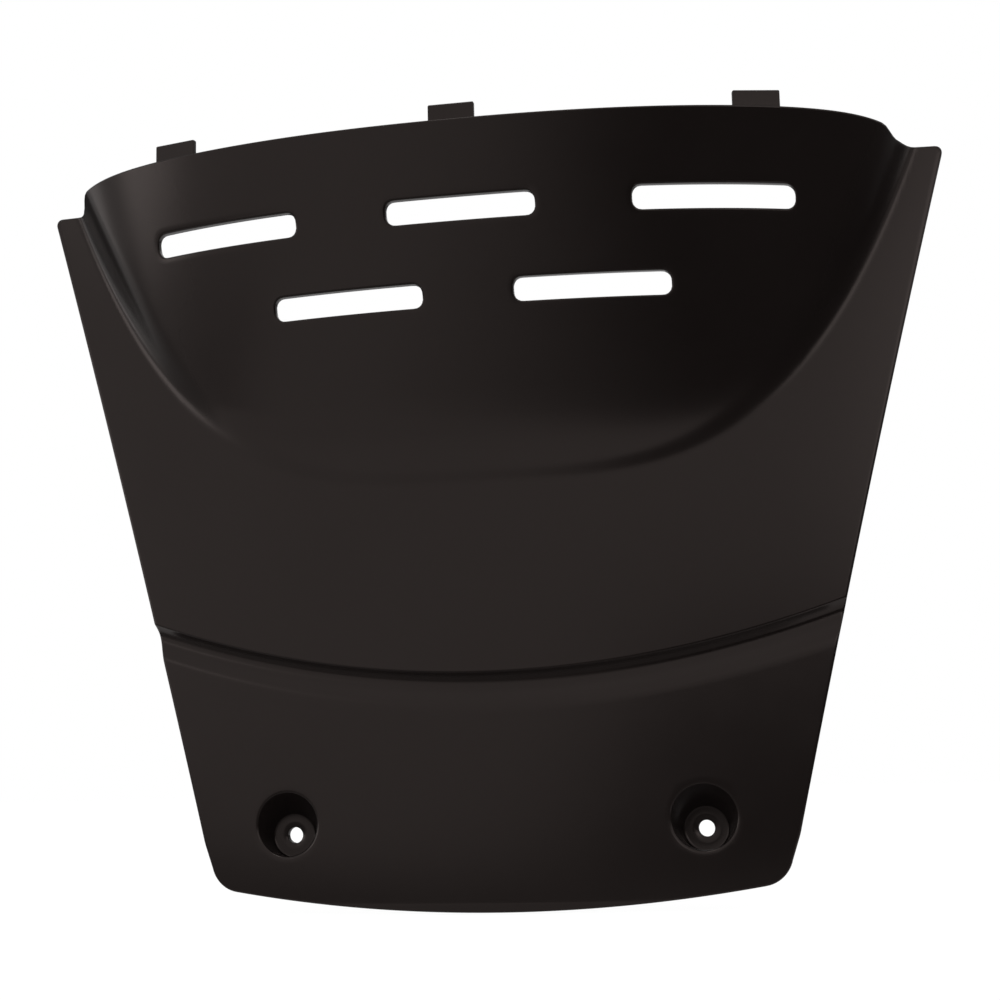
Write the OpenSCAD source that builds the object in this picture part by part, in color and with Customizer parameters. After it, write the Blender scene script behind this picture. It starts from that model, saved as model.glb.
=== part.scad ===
// Battery cover of a motorcycle: one moulded panel with a flared hood and vent slots above,
// a stepped lower panel with two sunk screw seats, and three hooking tabs along the top.
// X runs across the cover, the front faces -Y and Z is up. The origin lies midway between
// the two screw holes, in the plane of the seats' back faces.

/* [Panel] */
// Width across the tops of the side flanges
top_w = 251.2; // [244:0.2:258]
// Width of the panel at the height of the screws
screw_line_w = 160.2; // [152:0.2:168]
// Height of the flange tops above the screws
flange_h = 177; // [170:0.5:184]
// Distance from the screws down to the middle of the bottom edge
bottom_drop = 20.1; // [17:0.1:24]
// Rise of the bottom edge where its arc meets the corners
bottom_rise = 5.5; // [2:0.5:8]
// Bow of each side edge towards the middle
edge_bow = 0.8; // [0:0.1:2]
// Radius of the two bottom corners
corner_r = 8.5; // [5:0.5:11]
// Radius of the outer corners of the flange tops
flange_corner_r = 2.2; // [1:0.1:4]
// Forward bulge of the panel's middle over its side edges
bulge = 5; // [2:0.5:8]
// Thickness of the moulded wall
wall = 2.5; // [1.8:0.1:3]

/* [Step] */
// Height of the step line above the screws, at the middle
step_z = 42; // [36:1:48]
// Rise of the step line from the middle to the side edges
step_sag = 15; // [8:1:18]
// Depth of the step at its lip
step_depth = 2.2; // [1:0.1:3]
// Depth by which the lower panel stays set back
set_back = 0.3; // [0.2:0.1:1.2]
// Height of the step's sloping face
step_face = 3; // [2:0.1:4]
// Height over which the panel curves out again below the step's lip
step_cove = 10; // [8:0.5:14]

/* [Hood] */
// Height of the hood's foot above the screws, at the middle
foot_z = 94.5; // [90:0.5:99]
// Width of each side flange at its top, beside the hood's foot
flange_w = 9.2; // [7.5:0.1:11.5]
// Power of the curve that the hood's foot follows
foot_power = 3.5; // [3:0.1:4.5]
// Forward lean of the hood's face, in mm for each mm of height
hood_lean = 0.415; // [0.3:0.01:0.5]
// Height over which the panel bends into the hood
bend_h = 22; // [12:1:30]
// Power by which the hood's face rounds off towards its foot
side_power = 2.6; // [2:0.1:4]
// Fullness of the hood's sides: a smaller value makes them squarer
side_round = 0.45; // [0.35:0.01:0.6]
// Steepness of the hood's side walls at the top
side_steep = 2.6; // [1.8:0.1:3]
// Steepness of the hood's wall at the middle of its foot
foot_steep = 0.9; // [0.5:0.05:1.2]
// Breadth of the rounding between the hood's face and its side walls
shoulder = 2; // [1:0.5:6]
// Breadth of the hollow rounding at the hood's foot
foot_round = 3; // [1.5:0.1:5]
// Height of the middle of the hood's top edge over the flange tops
hood_top_rise = 5.9; // [4:0.1:11]
// Fall of the hood's top edge from the middle to its corners
hood_top_fall = 2.2; // [0:0.1:5]
// Further fall of the top edge close to the hood's corners, which rounds them
corner_fall = 2; // [0:0.1:4]

/* [Vent slots] */
// Length of a slot
slot_l = 41.5; // [34:0.5:43]
// Length of the slot in the middle
middle_slot_l = 40; // [34:0.5:43]
// Height of a slot
slot_h = 6; // [4.5:0.1:7]
// Radius of a slot's corners
slot_r = 2.4; // [1:0.1:2.6]
// Distance from the flange tops down to the upper row's centre line
upper_row_drop = 15.2; // [13:0.2:19]
// Distance between the centre lines of the two rows
row_pitch = 20.6; // [16:0.2:24]
// Spacing of the upper row's three slots
upper_pitch = 65.8; // [60:0.2:68]
// Spacing of the lower row's two slots
lower_pitch = 66; // [60:0.2:70]

/* [Screw seats] */
// Distance between the two screw holes
screw_pitch = 111.2; // [104:0.2:118]
// Diameter of a screw hole
hole_d = 4.6; // [4.2:0.1:6]
// Diameter of the flat seat under the screw's head
seat_d = 11.6; // [10:0.5:13]
// Diameter of the sunk seat's mouth
mouth_d = 14.6; // [14:0.2:18]
// Height of the mouth's centre above the hole's axis
mouth_lift = 2.6; // [0:0.2:3.5]
// Depth from the flanges' front plane to the seats' back faces
seat_reach = 7.5; // [6:0.5:10]
// Thickness of the wall around a sunk seat
cup_wall = 2; // [1.6:0.1:2.6]

/* [Tabs] */
// Width of a tab
tab_w = 12.2; // [9:0.2:16]
// Height of a tab above the hood's edge
tab_h = 4.2; // [3:0.1:6]
// Thickness of a tab
tab_t = 1.6; // [1.2:0.1:2]
// Distance from the middle tab to each outer one
tab_pitch = 78.2; // [70:0.2:84]

/* [Hidden] */
cover_colour = "#2b2827";
cone_fn = 48;
bore_fn = 64;
max_wall_y = 2 * wall;
slot_cut = 60;
slot_corner_steps = 5;
slot_edge_steps = 4;
disc_t = 0.2;
cup_front = 0.6;
mouth_reach = 3;
mouth_flare = 1.2;
hollow_stretch = 1.35;
tab_back = 0.4;
tab_root = 0.8;
side_gap = 0.8;
bend_delay = 1.5;
steep_power = 8;
foot_round_low = 0.8;
slope_reach = 0.3;
corner_trim = 0.2;
corner_power = 16;
foot_half_w = top_w / 2 - flange_w;
notch_in = foot_half_w - 7.5;
notch_out = foot_half_w - 3;
hood_edge_half = foot_half_w - 4.5;
hood_top_z = flange_h + hood_top_rise;
upper_row_z = flange_h - upper_row_drop;
lower_row_z = upper_row_z - row_pitch;

// Row stations: the corner's turn, fractions of the lower panel, depths below and above the
// step's lip, heights in the middle of the panel and the bend, and fractions of the upper hood
corner_steps = 5;
lower_parts = [0.12, 0.3, 0.5, 0.7, 0.87];
lip_rise = 0.8;
lip_depths = [step_cove, 0.8 * step_cove, 0.6 * step_cove, 0.45 * step_cove,
    step_face, 0.5 * step_face, 0, -lip_rise];
panel_parts = [0.12, 0.32, 0.54, 0.76, 0.92];
bend_parts = [0, 0.12, 0.24, 0.36, 0.48, 0.62, 0.78, 1];
bend_low = foot_z - 4;
bend_high = foot_z + 30;
hood_parts = [0.1, 0.22, 0.36, 0.5, 0.64, 0.78, 0.89];
corner_parts = [1, 0.55, 0.25, 0.07, 0];

// Column stations: shares of the hood's face, then distances from its foot, then shares of the flange
face_parts = [0, 0.14, 0.29, 0.44, 0.59, 0.73, 0.87];
foot_offsets = [17, 13.5, 11, 9, 7.4, 6, 4.8, 3.6, 2.4, 1.3, 0.4, -0.6, -1.9];
flange_parts = [0.25, 0.6, 1];

function mix(a, b, t) = a + (b - a) * t;
function clamp01(t) = min(1, max(0, t));
function smooth(t) = clamp01(t) * clamp01(t) * (3 - 2 * clamp01(t));
function soft_min(a, b, k) = min(a, b) - pow(max(k - abs(a - b), 0), 2) / (4 * k);
function soft_max(a, b, k) = -soft_min(-a, -b, k);

// The outline, seen from the front
function side_x(z) =
    let (t = z / flange_h)
    mix(screw_line_w, top_w, t) / 2 - 4 * edge_bow * t * (1 - t);
function bottom_curve(x) = bottom_rise * pow(x / corner_x, 2) - bottom_drop;
function hood_top(x) =
    let (t = pow(x / hood_edge_half, 2))
    hood_top_z - hood_top_fall * t - corner_fall * pow(t, corner_power / 2);
function top_z(x) = mix(hood_top(x), flange_h, smooth((abs(x) - notch_in) / (notch_out - notch_in)));
function step_line(x) = step_z + step_sag * pow(x / side_x(step_z), 2);

// The centre of the bottom corners' arc, and the angles between which it turns
corner_x = side_x(-bottom_drop / 2) - corner_r;
bottom_turn = atan(2 * bottom_rise / corner_x);
side_turn = 90 - atan(side_x(1) - side_x(0));
corner_centre = [
    side_x(-bottom_drop / 2) - corner_r * sin(side_turn) - corner_trim,
    bottom_curve(corner_x) + corner_r * cos(bottom_turn)
];
function corner_turn(i) = mix(bottom_turn, side_turn, i / corner_steps);
function corner_end(i) = corner_centre + corner_r * [sin(corner_turn(i)), -cos(corner_turn(i))];

// The front surface: its distance in front of the flanges' plane
function panel_front(x, z) = bulge * (1 - pow(x / side_x(z), 2));
function foot_curve(x) = foot_z + (flange_h - foot_z) * pow(abs(x) / foot_half_w, foot_power);
function foot_slope(x) = foot_power * (flange_h - foot_z) / foot_half_w * pow(abs(x) / foot_half_w, foot_power - 1);
function foot_x(z) = foot_half_w * pow(max(z - foot_z, 0.01) / (flange_h - foot_z), 1 / foot_power);
function bent_rise(d) = d <= 0 ? 0 : d < bend_h ? hood_lean * d * d / (2 * bend_h) : hood_lean * (d - bend_h / 2);
function face_rise(x, z) =
    let (u = min(abs(x) / (foot_x(z) + side_gap), 1))
    bent_rise(z - foot_z - bend_delay) * pow(1 - pow(u, side_power), side_round);
function wall_rise(x, z) =
    mix(foot_steep, side_steep, pow(min(abs(x) / foot_half_w, 1), steep_power))
    * (z - foot_curve(x)) / sqrt(1 + pow(foot_slope(x), 2));
function foot_rounding(x) = mix(foot_round_low, foot_round, pow(min(abs(x) / foot_half_w, 1), 2));
function hood_front(x, z) =
    soft_max(0, soft_min(face_rise(x, z), wall_rise(x, z), shoulder), foot_rounding(x));
function step_back(x, z) =
    let (d = step_line(x) - z)
    d <= 0 ? 0
    : d < step_face ? step_depth * sin(90 * d / step_face)
    : mix(step_depth, set_back, smooth((d - step_face) / (step_cove - step_face)));
function body_front(x, z) = panel_front(x, z) + hood_front(x, z);
function front(x, z) = body_front(x, z) - step_back(x, z);

// The wall's thickness measured along Y, so that it stays even where the surface is steep
function slope_factor(x, z, e = slope_reach) =
    let (a = (body_front(x + e, z) - body_front(x - e, z)) / (2 * e))
    let (b = (body_front(x, z + e) - body_front(x, z - e)) / (2 * e))
    sqrt(1 + a * a + b * b);
function wall_y(x, z) = min(wall * slope_factor(x, z), max_wall_y);

// The columns of the surface's grid follow the hood's foot, and the panel's sides below it
column_z = foot_z + 9;
half_count = len(face_parts) + len(foot_offsets) + len(flange_parts);
columns = 2 * half_count - 1;
function foot_column(z, edge) =
    edge / side_x(z) * (z > column_z ? foot_x(z) : foot_x(column_z) * side_x(z) / side_x(column_z));
function half_column(k, z, edge) =
    let (foot = foot_column(z, edge))
    k < len(face_parts) ? face_parts[k] * (foot - foot_offsets[0])
    : k < len(face_parts) + len(foot_offsets) ? foot - foot_offsets[k - len(face_parts)]
    : mix(foot - foot_offsets[len(foot_offsets) - 1], edge,
          flange_parts[k - len(face_parts) - len(foot_offsets)]);
function column_x(j, z, edge) =
    let (k = j - half_count + 1)
    sign(k) * half_column(abs(k), z, edge);

// A row is [its height as a function of x, the distance that its ends keep from the side edges]
function corner_row(i) =
    let (end = corner_end(i))
    [function(x) end[1] + bottom_curve(x) - bottom_curve(end[0]), side_x(end[1]) - end[0]];
corner_top = corner_row(corner_steps)[0];
function flange_inset(p) = flange_corner_r * (1 - sqrt(1 - pow(1 - p, 2)));
rows = concat(
    [for (i = [0:corner_steps]) corner_row(i)],
    [for (p = lower_parts) [function(x) mix(corner_top(x), step_line(x) - step_cove, p), 0]],
    [for (d = lip_depths) [function(x) step_line(x) - d, 0]],
    [for (p = panel_parts) [function(x) mix(step_line(x) + lip_rise, bend_low, p), 0]],
    [for (p = bend_parts) [function(x) mix(bend_low, bend_high, p), 0]],
    [for (p = hood_parts) [function(x) mix(bend_high, top_z(x) - flange_corner_r, p), 0]],
    [for (p = corner_parts) [function(x) top_z(x) - flange_corner_r * p, flange_inset(p)]]
);

// A grid point [x, z]: the height and the place along the row settle in two steps
function grid_point(row, j) =
    let (height = row[0])
    let (z0 = height(column_x(j, height(0), side_x(height(0)) - row[1])))
    let (z1 = height(column_x(j, z0, side_x(z0) - row[1])))
    [column_x(j, z1, side_x(z1) - row[1]), z1];
grid = [for (row = rows) for (j = [0:columns - 1]) grid_point(row, j)];
front_points = [for (p = grid) [p[0], -seat_reach - front(p[0], p[1]), p[1]]];
back_points = [for (p = grid) [p[0], -seat_reach - front(p[0], p[1]) + wall_y(p[0], p[1]), p[1]]];

// Two triangles for a cell, split the same way on both sides of the middle
function cell(a, b, c, d, left) = left ? [[a, b, c], [a, c, d]] : [[a, b, d], [b, c, d]];
function grid_faces() =
    let (total = len(grid))
    [for (i = [0:len(rows) - 2]) for (j = [0:columns - 2])
        let (a = i * columns + j)
        let (b = a + columns)
        let (left = j < half_count - 1)
        each concat(
            cell(a, b, b + 1, a + 1, left),
            cell(total + a + 1, total + b + 1, total + b, total + a, !left)
        )];
function rim_faces(loop) =
    let (total = len(grid))
    [for (i = [0:len(loop) - 1])
        let (a = loop[i])
        let (b = loop[(i + 1) % len(loop)])
        each [[a, b, total + b], [a, total + b, total + a]]];
last_row = (len(rows) - 1) * columns;
rim = concat(
    [for (j = [0:columns - 1]) j],
    [for (i = [1:len(rows) - 1]) i * columns + columns - 1],
    [for (j = [columns - 2:-1:0]) last_row + j],
    [for (i = [len(rows) - 2:-1:1]) i * columns]
);

// The moulded skin of the panel and the hood
module skin() {
    polyhedron(points = concat(front_points, back_points), faces = concat(grid_faces(), rim_faces(rim)));
}

// A slot's outline, with its rounded corners, bent along the fall of the hood's top edge
function slot_corner(half, side, up, k) =
    let (start = side > 0 ? (up > 0 ? 0 : -90) : (up > 0 ? 90 : 180))
    let (turn = start + 90 * k / slot_corner_steps)
    [side * (half - slot_r) + slot_r * cos(turn), up * (slot_h / 2 - slot_r) + slot_r * sin(turn)];
function slot_edge(half, up) =
    [for (k = [1:slot_edge_steps - 1])
        [up * (half - slot_r) * (1 - 2 * k / slot_edge_steps), up * slot_h / 2]];
function slot_outline(half) = concat(
    [for (k = [0:slot_corner_steps]) slot_corner(half, 1, 1, k)],
    slot_edge(half, 1),
    [for (k = [0:slot_corner_steps]) slot_corner(half, -1, 1, k)],
    [for (k = [0:slot_corner_steps]) slot_corner(half, -1, -1, k)],
    slot_edge(half, -1),
    [for (k = [0:slot_corner_steps]) slot_corner(half, 1, -1, k)]
);
module vent_slot(x, row_z, length) {
    rotate([90, 0, 0])
        linear_extrude(height = slot_cut)
            polygon([for (p = slot_outline(length / 2))
                [x + p[0], row_z + p[1] - hood_top_fall * pow((x + p[0]) / hood_edge_half, 2)]]);
}
module vent_slots() {
    vent_slot(0, upper_row_z, middle_slot_l);
    for (i = [-1, 1]) {
        vent_slot(i * upper_pitch, upper_row_z, slot_l);
        vent_slot(i * lower_pitch / 2, lower_row_z, slot_l);
    }
}

// A disc square to Y, with its front face at the given distance in front of the flanges' plane
module disc(d, reach, z) {
    translate([0, -seat_reach - reach, z])
        rotate([-90, 0, 0])
            cylinder(d = d, h = disc_t, $fn = cone_fn);
}

// The sunk seat's wall, behind the panel, and the space inside it
module seat_cup() {
    hull() {
        disc(mouth_d + 2 * cup_wall, cup_front, mouth_lift);
        disc(seat_d + 2 * cup_wall, disc_t - seat_reach, 0);
    }
}
module seat_hollow() {
    hull() {
        disc(mouth_d + 2 * mouth_flare, mouth_reach, mouth_lift * hollow_stretch);
        disc(seat_d, wall + disc_t - seat_reach, 0);
    }
}
module screw_hole() {
    translate([0, -seat_reach, 0])
        rotate([-90, 0, 0])
            cylinder(d = hole_d, h = 2 * seat_reach, $fn = bore_fn);
}

// A hooking tab, which stands on the hood's edge with its root inside the hood's wall
module tab(x) {
    z = top_z(x);
    turn = atan((front(x + 1, z) - front(x - 1, z)) / 2);
    translate([x, -seat_reach - front(x, z), z])
        rotate([0, 0, -turn])
            rotate([90, 0, 90])
                linear_extrude(height = tab_w, center = true)
                    translate([tab_back, -tab_root])
                        square([tab_t, tab_h + tab_root]);
}

// The whole cover
module cover() {
    color(cover_colour)
        difference() {
            union() {
                skin();
                for (i = [-1, 1]) translate([i * screw_pitch / 2, 0, 0]) seat_cup();
                for (i = [-1:1]) tab(i * tab_pitch);
            }
            vent_slots();
            for (i = [-1, 1]) translate([i * screw_pitch / 2, 0, 0]) {
                seat_hollow();
                screw_hole();
            }
        }
}

cover();
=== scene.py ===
import math

import bpy
import numpy as np
from mathutils import Matrix, Vector


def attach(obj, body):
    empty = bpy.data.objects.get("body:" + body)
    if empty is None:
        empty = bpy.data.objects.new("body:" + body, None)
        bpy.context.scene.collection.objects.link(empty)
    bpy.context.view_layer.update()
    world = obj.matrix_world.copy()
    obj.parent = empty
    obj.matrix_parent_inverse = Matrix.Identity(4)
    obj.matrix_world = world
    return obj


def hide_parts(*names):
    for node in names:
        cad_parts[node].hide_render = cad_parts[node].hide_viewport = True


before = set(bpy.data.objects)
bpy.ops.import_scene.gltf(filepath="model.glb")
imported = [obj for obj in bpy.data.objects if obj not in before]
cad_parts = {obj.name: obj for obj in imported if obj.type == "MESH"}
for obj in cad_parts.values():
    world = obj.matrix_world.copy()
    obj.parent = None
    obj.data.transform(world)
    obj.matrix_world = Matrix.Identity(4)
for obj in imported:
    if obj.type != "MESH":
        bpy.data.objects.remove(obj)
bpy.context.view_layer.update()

# ---- Moulded shell ----
# The cover itself: one sheet of injection-moulded black plastic, about 2.5 mm thick, with a
# flared hood, a stepped lower panel, five vent slots and two sunk screw seats. It is drawn as
# one grid whose lines run round every opening, and its front is a formula in millimetres.

# Outline: its width at the flanges' tops and at the screws, the flanges' height, the drop and
# rise of the bottom edge, the sides' inward bow, and the radii of its corners and its edge
top_w, screw_line_w, flange_h = 251.14, 160.2, 177.0
bottom_drop, bottom_rise, edge_bow, corner_r, flange_corner_r = 20.1, 5.5, 0.8, 8.5, 2.2
rim_lip = 0.5
# Panel: how far its middle arches forward, and the wall's thickness
bulge, wall = 5.0, 2.5
# Step: the lip's height and its rise to the sides, its depth, the lower panel's set-back, and
# how far below the lip its face and its cove end
step_z, step_sag, step_depth, set_back, step_face, step_cove = 42.0, 15.0, 2.2, 0.3, 3.0, 10.0
# Hood: its foot line and how far over it the face starts, the face's lean and bend, its fall
# to the sides, the side walls' steepness, and the rounding at their shoulders and feet
foot_z, foot_half_w, foot_power, side_gap, face_start = 94.5, 116.4, 3.5, 0.8, 1.5
hood_lean, bend_h, side_power, side_round = 0.415, 22.0, 2.6, 0.45
side_steep, foot_steep, steep_power, shoulder = 2.6, 0.9, 8, 2.0
foot_round, foot_round_low = 4.0, 2.0
# Top edge: its height and fall, its rounded corners, and the notches beside the flanges
hood_top_z, hood_top_fall, corner_fall, corner_power = 182.9, 2.2, 2.0, 16
hood_edge_half, notch_in, notch_out = 111.9, 109.6, 113.2
# Vent slots: their sizes, and the rows' heights and pitches
slot_l, middle_slot_l, slot_h, slot_r, slot_lip = 41.5, 40.0, 6.0, 2.4, 0.6
upper_row_z, lower_row_z, upper_pitch, lower_pitch = 161.8, 141.2, 65.8, 66.0
# Screw seats: pitch, bore, mouth and the wall behind, which reaches behind the flanges' plane
screw_pitch, bore_r, bore_lip = 111.2, 2.15, 0.15
mouth_r, mouth_z, mouth_lip, cup_r, cup_lip = 9.2, 3.0, 0.9, 7.8, 0.4
seat_reach, seat_floor = 7.5, 2.5


def blend(a, b, t):
    """A straight mix: a where t is 0, b where t is 1."""
    return a + (b - a) * t


def ease(t):
    """The S curve 3t^2 - 2t^3 between 0 and 1, flat outside them."""
    t = np.clip(t, 0, 1)
    return t * t * (3 - 2 * t)


def soft_min(a, b, k):
    """The smaller of two, less (k - |a - b|)^2 / 4k where they are closer than k."""
    return np.minimum(a, b) - np.maximum(k - np.abs(a - b), 0) ** 2 / (4 * k)


def side_x(z):
    """Half the outline's width: a straight taper with a shallow parabolic bow inwards."""
    t = z / flange_h
    return blend(screw_line_w, top_w, t) / 2 - 4 * edge_bow * t * (1 - t)


corner_x = side_x(-bottom_drop / 2) - corner_r


def bottom_curve(x):
    """The bottom edge: a parabola that rises towards the corners."""
    return bottom_rise * (x / corner_x) ** 2 - bottom_drop


def row_fall(x):
    """How far the hood's top edge and the slots fall away from the middle: a parabola."""
    return hood_top_fall * (x / hood_edge_half) ** 2


def top_edge(x):
    """The top edge: the hood's parabola less a high power of x that rounds its corners, which
    drops to the flanges along an S curve."""
    corner = corner_fall * (x / hood_edge_half) ** corner_power
    t = ease((np.abs(x) - notch_in) / (notch_out - notch_in))
    return blend(hood_top_z - row_fall(x) - corner, flange_h, t)


def step_line(x):
    """The step's lip: a parabola that rises towards the sides."""
    return step_z + step_sag * (x / side_x(step_z)) ** 2


def face_front(x, z):
    """The panel and hood before the step: a shallow arch across the panel, plus the softened
    lesser of the hood's leaning face and its side wall. The face rises as a bend and then a
    straight lean, times (1 - u^p)^q across; the wall rises from the curved foot line."""
    panel = bulge * (1 - (x / side_x(z)) ** 2)
    ax = np.minimum(np.abs(x) / foot_half_w, 1.6)
    foot = foot_z + (flange_h - foot_z) * ax ** foot_power
    slope = foot_power * (flange_h - foot_z) / foot_half_w * ax ** (foot_power - 1)
    foot_x = foot_half_w * (np.maximum(z - foot_z, 0.01) / (flange_h - foot_z)) ** (1 / foot_power)
    d = np.maximum(z - foot_z - face_start, 0)
    rise = hood_lean * np.where(d < bend_h, d * d / (2 * bend_h), d - bend_h / 2)
    u = np.minimum(np.abs(x) / (foot_x + side_gap), 1)
    face = rise * (1 - u ** side_power) ** side_round
    steep = blend(foot_steep, side_steep, np.minimum(ax, 1) ** steep_power)
    side = steep * (z - foot) / np.sqrt(1 + slope ** 2)
    hollow = blend(foot_round_low, foot_round, np.minimum(ax, 1) ** 2)
    return panel - soft_min(0, -soft_min(face, side, shoulder), hollow)


def step_back(x, z):
    """The step: a quarter sine down to its depth, then an S curve out to the set-back level."""
    d = step_line(x) - z
    lip = step_depth * np.sin(np.pi / 2 * np.clip(d / step_face, 0, 1))
    cove = blend(step_depth, set_back, ease((d - step_face) / (step_cove - step_face)))
    return np.where(d < step_face, lip, cove)


def front(x, z):
    """Distance of the front surface from the flanges' plane, in millimetres."""
    return face_front(x, z) - step_back(x, z)


def wall_y(x, z, e=0.3):
    """The wall along Y: its thickness times the square root of 1 + a^2 + b^2, where a and b are
    the surface's slopes, so that it stays as thick where it slopes; twice the wall at most."""
    a = (face_front(x + e, z) - face_front(x - e, z)) / (2 * e)
    b = (face_front(x, z + e) - face_front(x, z - e)) / (2 * e)
    return np.minimum(wall * np.sqrt(1 + a * a + b * b), 2 * wall)


def stations(marks, gap=1.1):
    """Values through all the marks, evenly spaced by about gap between them."""
    parts = [np.linspace(a, b, max(round((b - a) / gap), 1), endpoint=False)
             for a, b in zip(marks, marks[1:])]
    return np.concatenate(parts + [[marks[-1]]])


slot_half_l, middle_half_l = slot_l / 2 + slot_lip, middle_slot_l / 2 + slot_lip
slot_half_h, slot_out_r = slot_h / 2 + slot_lip, slot_r + slot_lip
screw_x = screw_pitch / 2
half_lines = stations(sorted([
    0, middle_half_l, lower_pitch / 2 - slot_half_l, lower_pitch / 2 + slot_half_l,
    upper_pitch - slot_half_l, upper_pitch + slot_half_l, screw_x - mouth_r, screw_x + mouth_r,
    top_w / 2]))
across = np.concatenate([-half_lines[:0:-1], half_lines])

# The bottom corners' arc: from the bottom edge's slope to the side's, about one centre
corner_turns = np.radians(np.linspace(math.degrees(math.atan(2 * bottom_rise / corner_x)),
                                      90 - math.degrees(math.atan(side_x(1) - side_x(0))), 13))
corner_at = (side_x(-bottom_drop / 2) - corner_r * math.sin(corner_turns[-1]) - 0.2,
             bottom_curve(corner_x) + corner_r * math.cos(corner_turns[0]))
corner_end = (corner_at[0] + (corner_r - rim_lip) * np.sin(corner_turns),
              corner_at[1] - (corner_r - rim_lip) * np.cos(corner_turns))


def between(low, high, parts):
    """Rows mixed between two marks, each mark a height as a function of x."""
    return [lambda x, p=p: blend(low(x), high(x), p) for p in parts]


def shares(count):
    """Even shares from the first row after a mark up to the next mark."""
    return np.arange(1, count + 1) / count


# Rows of the grid, from the bottom edge up, each a height as a function of x
corner_top = lambda x: corner_end[1][-1] + bottom_curve(x) - bottom_curve(corner_end[0][-1])
step_low = lambda x: step_line(x) - step_cove
step_high = lambda x: step_line(x) + 0.8
lip_depths = [9, 8, 7, 6, 5.2, 4.4, 3.7, 3, 2.4, 1.8, 1.3, 0.9, 0.55, 0.3, 0.1, -0.1, -0.35, -0.8]
mouth_rows = 18
screw_low = lambda x: mouth_z - mouth_r + 0 * x
screw_high = lambda x: mouth_z + mouth_r + 0 * x
hood_low = lambda x: foot_z - 6 + 0 * x
slot_marks = [lambda x, z=z: z - row_fall(x) for row_z in (lower_row_z, upper_row_z)
              for z in (row_z - slot_half_h, row_z + slot_half_h)]
top_low = lambda x: top_edge(x) - flange_corner_r
top_shares = np.array([0.75, 0.5, 0.3, 0.15, 0.05, 0])
rows = [lambda x, a=a, b=b: b + bottom_curve(x) - bottom_curve(a) for a, b in zip(*corner_end)]
rows += between(corner_top, screw_low, shares(6))
screw_row = len(rows) - 1
rows += between(screw_low, screw_high, shares(mouth_rows))
rows += between(screw_high, step_low, shares(17))
rows += [lambda x, d=d: step_line(x) - d for d in lip_depths]
rows += between(step_high, hood_low, shares(36))
rows += between(hood_low, slot_marks[0], shares(46))
slot_rows = [len(rows) - 1]
for low, high, count in zip(slot_marks, slot_marks[1:] + [top_low], (6, 12, 6, 12)):
    rows += between(low, high, shares(count))
    slot_rows.append(len(rows) - 1)
rows += [lambda x, p=p: top_edge(x) - blend(rim_lip, flange_corner_r, p) for p in top_shares]

# How far each row's ends keep from the side edges: the lip's radius, and more at the corners
bend_rows = len(corner_turns)
inset = np.full(len(rows), rim_lip)
inset[:bend_rows] = side_x(corner_end[1]) - corner_end[0]
heights = np.array([row(corner_end[0][-1]) for row in rows])
inset[bend_rows:] = np.interp(heights[bend_rows:], [corner_end[1][-1], -1.6],
                              [inset[bend_rows - 1], rim_lip])
inset[-len(top_shares):] += (flange_corner_r - rim_lip) * (1 - np.sqrt(1 - (1 - top_shares) ** 2))


def skin_grid():
    """x and z of every grid point. A column stands upright in the middle and spreads with the
    outline near the sides; height and place settle together in a few steps."""
    u = np.abs(across)[None, :]
    x = np.repeat(across[None, :], len(rows), 0)
    for _ in range(8):
        z = np.array([row(line) for row, line in zip(rows, x)])
        core = blend(screw_x + mouth_r + 1, upper_pitch + slot_half_l + 2, ease((z - 20) / 130))
        edge = side_x(z) - inset[:, None]
        spread = core + (u - core) * (edge - core) / (top_w / 2 - core)
        x = np.sign(across) * np.where(u < core, u, spread)
    return x, z


def rounded(a, b, half_l, half_h, r, reach):
    """Bends the square grid lines round an opening into rounded rectangles: beyond the
    corners' centres a point moves from its square ring to the circle of the same size, and
    the bend fades out over the reach."""
    qa = np.maximum(np.abs(a) - (half_l - r), 0)
    qb = np.maximum(np.abs(b) - (half_h - r), 0)
    ring, far = np.maximum(qa, qb), np.maximum(np.hypot(qa, qb), 1e-9)
    f = blend(ring / far, 1, ease((ring - r) / reach))
    return (np.sign(a) * (np.minimum(np.abs(a), half_l - r) + qa * f),
            np.sign(b) * (np.minimum(np.abs(b), half_h - r) + qb * f))


grid_x, grid_z = skin_grid()
# Slots: middle, half length, row's height, and the grid's rows at its bottom and top
slots = [(0, middle_half_l, upper_row_z, slot_rows[2:])]
slots += [(i * upper_pitch, slot_half_l, upper_row_z, slot_rows[2:]) for i in (-1, 1)]
slots += [(i * lower_pitch / 2, slot_half_l, lower_row_z, slot_rows[:2]) for i in (-1, 1)]
openings = []  # first and last row, first and last column
column_of = lambda x: int(np.argmin(np.abs(across - x)))
for at, half, row_z, (low, high, *_) in slots:
    a, b = rounded(grid_x - at, grid_z + row_fall(grid_x) - row_z, half, slot_half_h,
                   slot_out_r, 4)
    grid_x = a + at
    grid_z = b + row_z - row_fall(grid_x)
    openings.append((low, high, column_of(at - half), column_of(at + half)))
for side in (-1, 1):
    at = side * screw_x
    a, b = rounded(grid_x - at, grid_z - mouth_z, mouth_r, mouth_r, mouth_r, 5)
    grid_x, grid_z = a + at, b + mouth_z
    openings.append((screw_row, screw_row + mouth_rows,
                     column_of(at - mouth_r), column_of(at + mouth_r)))


def loop_of(low, high, left, right):
    """Grid indices round a block of cells: right along its bottom, up, back and down."""
    ids = np.arange(grid_x.size).reshape(grid_x.shape)
    return np.concatenate([ids[low, left:right], ids[low:high, right],
                           ids[high, right:left:-1], ids[high:low:-1, left]])


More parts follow.
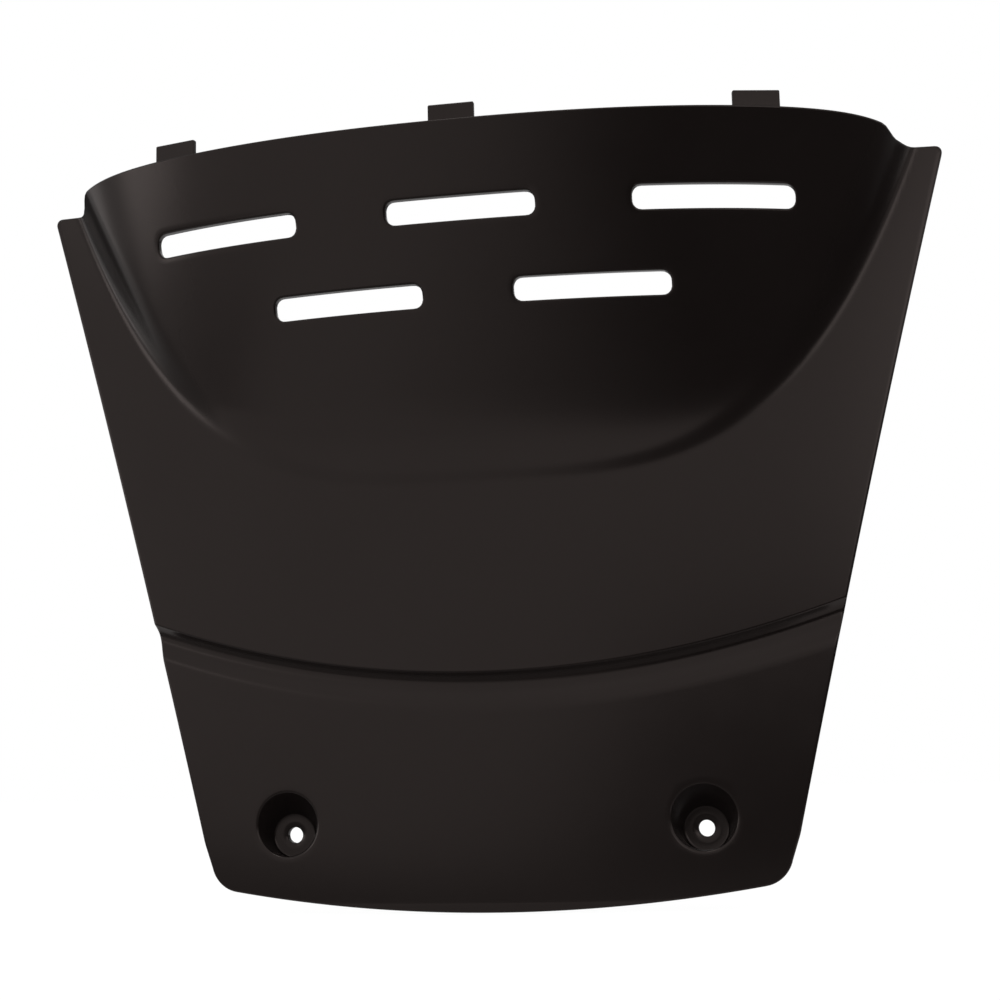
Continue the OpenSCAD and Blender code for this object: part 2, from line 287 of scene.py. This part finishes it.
class Shell:
    """Collects points and four-sided faces as arrays, and makes one mesh of them."""

    def __init__(self):
        self.points, self.faces, self.count = [], [], 0

    def add(self, x, front_y, z):
        """Adds points given in millimetres; front_y is the distance from the flanges' plane."""
        points = np.stack(np.broadcast_arrays(x, -seat_reach - front_y, z), -1).reshape(-1, 3)
        ids = np.arange(self.count, self.count + len(points))
        self.points.append(points)
        self.count += len(points)
        return ids

    def band(self, rings, turned=False):
        """Faces between each ring of points and the next; turned faces the other way."""
        for a, b in zip(rings, rings[1:]):
            quads = np.stack([a, b, np.roll(b, -1), np.roll(a, -1)], -1)
            self.faces.append(quads[:, ::-1] if turned else quads)

    def mesh(self, name):
        """The mesh in metres, without the points that no face uses."""
        points, faces = np.concatenate(self.points), np.concatenate(self.faces)
        used = np.unique(faces)
        made = bpy.data.meshes.new(name)
        made.from_pydata(points[used] / 1000, [], np.searchsorted(used, faces))
        made.shade_smooth()
        made.set_sharp_from_angle(angle=math.radians(50))
        return made


shell = Shell()
front_ids = shell.add(grid_x, front(grid_x, grid_z), grid_z)
back_ids = shell.add(grid_x, front(grid_x, grid_z) - wall_y(grid_x, grid_z), grid_z)
cells = np.ones((len(rows) - 1, len(across) - 1), bool)
for low, high, left, right in openings:
    cells[low:high, left:right] = False
ids = np.arange(grid_x.size).reshape(grid_x.shape)
quads = np.stack([ids[:-1, :-1], ids[:-1, 1:], ids[1:, 1:], ids[1:, :-1]], -1)[cells]
shell.faces += [front_ids[quads], back_ids[quads][:, ::-1]]


def edge_rings(loop, out_x, out_z, lip):
    """The rounded edge between front and back: quarter circles of the lip's radius, carried
    along the loop and pushed out along the given directions."""
    x, z = grid_x.ravel()[loop], grid_z.ravel()[loop]
    turns = np.radians([22, 45, 68, 90])
    fronts, backs = [], []
    for t in turns:
        px, pz = x + out_x * lip * np.sin(t), z + out_z * lip * np.sin(t)
        level = front(px, pz)
        drop = lip * (1 - np.cos(t))
        fronts.append(shell.add(px, level - drop, pz))
        backs.append(shell.add(px, level - wall_y(px, pz) + drop, pz))
    return [front_ids[loop]] + fronts + backs[::-1] + [back_ids[loop]]


rim = loop_of(0, len(rows) - 1, 0, len(across) - 1)
rim_x, rim_z = grid_x.ravel()[rim], grid_z.ravel()[rim]
along_x, along_z = np.roll(rim_x, -1) - np.roll(rim_x, 1), np.roll(rim_z, -1) - np.roll(rim_z, 1)
along = np.hypot(along_x, along_z)
shell.band(edge_rings(rim, along_z / along, -along_x / along, rim_lip))

for (at, half, row_z, _), block in zip(slots, openings):
    loop = loop_of(*block)
    x, z = grid_x.ravel()[loop], grid_z.ravel()[loop]
    a, b = x - at, z + row_fall(x) - row_z
    qa = np.sign(a) * np.maximum(np.abs(a) - (half - slot_out_r), 0)
    qb = np.sign(b) * np.maximum(np.abs(b) - (slot_half_h - slot_out_r), 0)
    q = np.hypot(qa, qb)
    shell.band(edge_rings(loop, -qa / q, -qb / q, slot_lip), turned=True)

# A seat's rings from its wall's foot inwards, down the bore and out to the cup's back edge:
# radius, height of the ring's middle, and distance in front of the flanges' plane
floor_y = seat_floor - seat_reach
seat_rings = [(6.15, 0.1, floor_y + 0.9), (5.95, 0, floor_y + 0.35), (5.7, 0, floor_y + 0.08),
              (5.3, 0, floor_y), (3.9, 0, floor_y), (bore_r + bore_lip, 0, floor_y),
              (bore_r, 0, floor_y - bore_lip), (bore_r, 0, -seat_reach),
              (cup_r - cup_lip, 0, -seat_reach), (cup_r, 0, cup_lip - seat_reach)]
for side, block in zip((-1, 1), openings[len(slots):]):
    loop = loop_of(*block)
    x, z = grid_x.ravel()[loop], grid_z.ravel()[loop]
    turn = np.arctan2(z - mouth_z, x - side * screw_x)
    rings = [front_ids[loop]]
    for t in np.radians([20, 40, 60, 78]):
        r = mouth_r - mouth_lip * np.sin(t)
        px, pz = side * screw_x + r * np.cos(turn), mouth_z + r * np.sin(turn)
        rings.append(shell.add(px, front(px, pz) - mouth_lip * (1 - np.cos(t)), pz))
    for r, ring_z, y in seat_rings:
        px, pz = side * screw_x + r * np.cos(turn), ring_z + r * np.sin(turn)
        rings.append(shell.add(px, y + 0 * turn, pz))
    rings.append(back_ids[loop])
    shell.band(rings, turned=True)


class Wire:
    """A node's output, with arithmetic that adds Math nodes."""

    def __init__(self, nodes, socket):
        self.nodes, self.socket = nodes, socket

    def math(self, operation, *others):
        """Another Math node on this value, such as the larger of it and another."""
        return self.nodes.add("ShaderNodeMath", {"operation": operation}, self, *others)

    def __add__(self, other): return self.math("ADD", other)
    def __mul__(self, other): return self.math("MULTIPLY", other)
    def __rsub__(self, other): return self * -1 + other
    __radd__, __rmul__ = __add__, __mul__


class Nodes:
    """The nodes of one material or world."""

    def __init__(self, owner):
        owner.use_nodes = True
        self.tree = owner.node_tree
        self.tree.nodes.clear()

    def add(self, kind, settings=None, *values, out=0, **named):
        """Adds a node: settings first, then its inputs by place or by name. Gives an output."""
        node = self.tree.nodes.new(kind)
        for key, value in (settings or {}).items():
            setattr(node, key, value)
        for key, value in list(enumerate(values)) + list(named.items()):
            key = key if isinstance(key, int) else key.replace("_", " ")
            if isinstance(value, Wire):
                self.tree.links.new(value.socket, node.inputs[key])
            else:
                node.inputs[key].default_value = value
        return Wire(self, node.outputs[out]) if node.outputs else node


def black_plastic():
    """Satin black moulded plastic: a fine spark-eroded grain, cloudy gloss from handling and
    specks of dust in the grain, which only roughen its gloss."""
    made = bpy.data.materials.new("black_plastic")
    n = Nodes(made)
    place = n.add("ShaderNodeTexCoord", out="Object")
    clouds = n.add("ShaderNodeTexNoise", {}, Vector=place, Scale=28.0, Detail=4.0, Roughness=0.55)
    smears = n.add("ShaderNodeTexNoise", {}, Vector=place, Scale=140.0, Detail=3.0, Roughness=0.6)
    grain = n.add("ShaderNodeTexNoise", {}, Vector=place, Scale=2600.0, Detail=2.0, Roughness=0.6)
    dust = n.add("ShaderNodeTexNoise", {}, Vector=place, Scale=900.0, Detail=1.0)
    specks = n.add("ShaderNodeMapRange", {"clamp": True}, dust, 0.66, 0.8, 0.0, 1.0)
    colour = n.add("ShaderNodeMix", {"data_type": "RGBA"}, Factor=clouds, out="Result",
                   A=(0.0062, 0.0046, 0.0043, 1), B=(0.0086, 0.0066, 0.0062, 1))
    roughness = 0.17 + clouds * 0.07 + smears * 0.04 + specks * 0.03
    bump = n.add("ShaderNodeBump", {}, Strength=0.12, Distance=0.00005, Height=grain)
    shader = n.add("ShaderNodeBsdfPrincipled", {}, Base_Color=colour, Roughness=roughness,
                   Normal=bump, Specular_IOR_Level=0.22, Specular_Tint=(1, 0.84, 0.79, 1))
    n.add("ShaderNodeOutputMaterial", {}, Surface=shader)
    return made


plastic = black_plastic()
cover_mesh = shell.mesh("cover_shell")
cover_mesh.materials.append(plastic)
cover = bpy.data.objects.new("cover_shell", cover_mesh)
bpy.context.scene.collection.objects.link(cover)
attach(cover, "root")
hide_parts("cover")

# ---- Hooking tabs ----
# Three short square tabs of the same moulding stand on the hood's top edge, just behind its
# face, and hook behind the panel above.
tab_w, tab_pitch, tab_edge = 12.2, 78.2, 0.4
# The profile's distances behind the hood's face and above its top edge, in which it is sunk
tab_profile = np.array([[0.4, -0.8], [0.4, 4.2], [2.0, 4.2], [2.0, -0.8]])


def tab_mesh(x):
    """The tab's side profile carried straight by its width along the hood's edge, whose
    direction is the surface's slope at the tab's middle."""
    z = top_edge(x)
    slope = (front(x + 1, z) - front(x - 1, z)) / 2
    along = np.array([1, -slope, 0]) / math.hypot(1, slope)
    back = np.array([-along[1], along[0], 0])
    foot = np.array([x, -seat_reach - front(x, z), z])
    ring = foot + tab_profile[:, :1] * back + tab_profile[:, 1:] * np.array([0, 0, 1])
    points = np.concatenate([ring - along * tab_w / 2, ring + along * tab_w / 2]) / 1000
    count = len(ring)
    k = np.arange(count)
    sides = np.stack([k, (k + 1) % count, (k + 1) % count + count, k + count], -1)
    made = bpy.data.meshes.new("tab")
    made.from_pydata(points, [], [*sides.tolist(), k[::-1].tolist(), (k + count).tolist()])
    return made


for name, i in (("tab_left", -1), ("tab_middle", 0), ("tab_right", 1)):
    made = tab_mesh(i * tab_pitch)
    made.materials.append(plastic)
    made.shade_smooth()
    tab = bpy.data.objects.new(name, made)
    bpy.context.scene.collection.objects.link(tab)
    edge = tab.modifiers.new("edge", "BEVEL")
    edge.width, edge.segments, edge.limit_method = tab_edge / 1000, 3, "ANGLE"
    edge.harden_normals = True
    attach(tab, "root")

# ---- Studio ----
# A pale floor under the cover, a plain white surround, soft lamps and the camera, which stands
# to the right of the middle and a little below the hood, as in the photograph.
floor_half, floor_z = 3, -0.0205
floor_mesh = bpy.data.meshes.new("floor")
floor_mesh.from_pydata([(x * floor_half, y * floor_half, floor_z)
                        for x, y in ((-1, -1), (1, -1), (1, 1), (-1, 1))], [], [(0, 1, 2, 3)])
floor = bpy.data.objects.new("floor", floor_mesh)
bpy.context.scene.collection.objects.link(floor)
floor_look = bpy.data.materials.new("pale_floor")
n = Nodes(floor_look)
rays = {k: n.add("ShaderNodeLightPath", out=f"Is {k} Ray")
        for k in ("Camera", "Glossy", "Transmission")}
mirrored = rays["Glossy"].math("MAXIMUM", rays["Transmission"])
paint = n.add("ShaderNodeBsdfDiffuse", {}, Color=(0.8, 0.8, 0.8, 1))
glow = n.add("ShaderNodeEmission", {}, Color=(1, 1, 1, 1), Strength=1.1)
n.add("ShaderNodeOutputMaterial", {}, Surface=n.add(
    "ShaderNodeMixShader", {}, rays["Camera"] * 0.85 + mirrored * 0.55, paint, glow))
floor_mesh.materials.append(floor_look)

world = bpy.data.worlds.new("surround")
bpy.context.scene.world = world
n = Nodes(world)
seen = n.add("ShaderNodeLightPath", out="Is Camera Ray").math(
    "MAXIMUM", n.add("ShaderNodeLightPath", out="Is Glossy Ray")).math(
    "MAXIMUM", n.add("ShaderNodeLightPath", out="Is Transmission Ray"))
n.add("ShaderNodeOutputWorld", {}, Surface=n.add(
    "ShaderNodeBackground", {}, Color=(1, 1, 1, 1), Strength=1 - 0.2 * (1 - seen)))


def flag(name, points, faces, cover):
    """A black studio flag that only reflections see: it keeps part of the white surround out
    of the plastic's gloss. Its weave covers the given share of what lies behind it."""
    made = bpy.data.meshes.new(name)
    made.from_pydata(points, [], faces)
    look = bpy.data.materials.new(name)
    n = Nodes(look)
    share = cover(n) if callable(cover) else cover
    n.add("ShaderNodeOutputMaterial", {}, Surface=n.add(
        "ShaderNodeMixShader", {}, share, n.add("ShaderNodeBsdfTransparent", {}),
        n.add("ShaderNodeBsdfDiffuse", {}, Color=(0.004, 0.004, 0.004, 1))))
    made.materials.append(look)
    card = bpy.data.objects.new(name, made)
    bpy.context.scene.collection.objects.link(card)
    card.visible_camera = card.visible_diffuse = card.visible_shadow = False


def curved_flag(name, first, last, low, high, cover):
    """A flag bent round the cover at a metre, on a circle's arc between two bearings in degrees,
    right positive. Its top runs from one height to the other."""
    posts = 13
    turn = np.radians(np.linspace(first, last, posts))
    ring = np.stack([np.sin(turn), -np.cos(turn), 0 * turn], -1)
    top = np.stack([0 * turn, 0 * turn, np.linspace(*high, posts)], -1)
    points = np.concatenate([ring + (0, 0, low), ring + top])
    k = np.arange(posts - 1)
    faces = np.stack([k, k + 1, k + 1 + posts, k + posts], -1).tolist()
    flag(name, points, faces, cover)


def flat_flag(name, z, corners, cover):
    """A flag that lies level over the floor, given by the corners of its outline."""
    flag(name, [(x, y, z) for x, y in corners], [tuple(range(len(corners)))], cover)


def feathered(n):
    """The floor flag's cover: from nothing on its left to full, along an S curve over 240 mm."""
    place = n.add("ShaderNodeTexCoord", out="Object")
    x = n.add("ShaderNodeSeparateXYZ", {}, place, out="X")
    smooth = {"interpolation_type": "SMOOTHSTEP"}
    return n.add("ShaderNodeMapRange", smooth, x, -0.14, 0.1, 0.0, 1.0)


# The right floor flag turns up at its front edge
flag("flag_floor", [(-0.1, -0.09, -0.019), (0.16, -0.09, -0.019), (0.16, 0.3, -0.019),
                    (1.6, 0.3, -0.019), (1.6, -1.4, -0.019), (-0.1, -1.4, -0.019),
                    (1.6, -1.45, 0.09), (-0.1, -1.45, 0.09)],
     [(0, 1, 2, 3, 4, 5), (5, 4, 6, 7)], feathered)
flat_flag("flag_floor_left", -0.019,
          [(-0.8, 0.3), (-0.25, 0.3), (-0.25, -0.34), (-0.8, -0.34)], 0.6)
flat_flag("flag_foot", -0.018,
          [(-0.3, -0.014), (0.11, -0.014), (0.11, -0.09), (-0.3, -0.16)], 0.65)
curved_flag("flag_left_back", -170, -100, -0.02, (0.6, 0.6), 0.95)
curved_flag("flag_front", 4, 34, -0.02, (-0.02, 0.12), 0.95)
curved_flag("flag_right", 34, 170, -0.02, (0.12, 0.1), 0.95)
curved_flag("flag_right_back", 106, 170, 0.1, (0.6, 0.6), 0.7)


def lamp(name, at, to, size, watts):
    """A soft box at one point, turned to face another."""
    light = bpy.data.lights.new(name, "AREA")
    light.shape, light.size, light.size_y, light.energy = "RECTANGLE", size[0], size[1], watts
    made = bpy.data.objects.new(name, light)
    aim = (Vector(to) - Vector(at)).to_track_quat("-Z", "Y").to_matrix().to_4x4()
    made.matrix_world = Matrix.Translation(at) @ aim
    bpy.context.scene.collection.objects.link(made)


lamp("left_box", (-0.6, -0.38, 0.12), (-0.12, -0.02, 0.12), (0.2, 0.26), 0.45)
lamp("far_left_box", (-0.9, -0.11, 0.12), (-0.11, -0.03, 0.13), (0.16, 0.2), 0.2)
lamp("high_left_box", (-0.61, -0.94, 0.52), (-0.11, -0.02, 0.14), (0.2, 0.12), 0.15)
lamp("right_box", (0.5, -1.0, 0.29), (0.1, -0.01, 0.13), (0.3, 0.4), 0.7)
lamp("far_right_box", (1.0, -0.1, 0.2), (0.1, -0.03, 0.15), (0.25, 0.2), 0.15)
lamp("top_box", (-0.1, -0.35, 0.9), (0, 0, 0.1), (0.3, 0.2), 1)

# The camera's place and its three directions follow from the photograph's perspective
camera = bpy.data.cameras.new("camera")
camera.lens, camera.sensor_width, camera.clip_start = 64.8, 36.0, 0.01
view = bpy.data.objects.new("camera", camera)
right = Vector((0.98172982, 0.18892136, -0.02269979))
up = Vector((0.05046351, -0.14347676, 0.98836626))
back = Vector((0.18346661, -0.97145414, -0.15038905))
turned = Matrix((right, up, back)).transposed().to_4x4()
view.matrix_world = Matrix.Translation((0.092952, -0.478929, 0.015167)) @ turned
bpy.context.scene.collection.objects.link(view)
bpy.context.scene.camera = view
bpy.context.scene.view_settings.view_transform = "Standard"
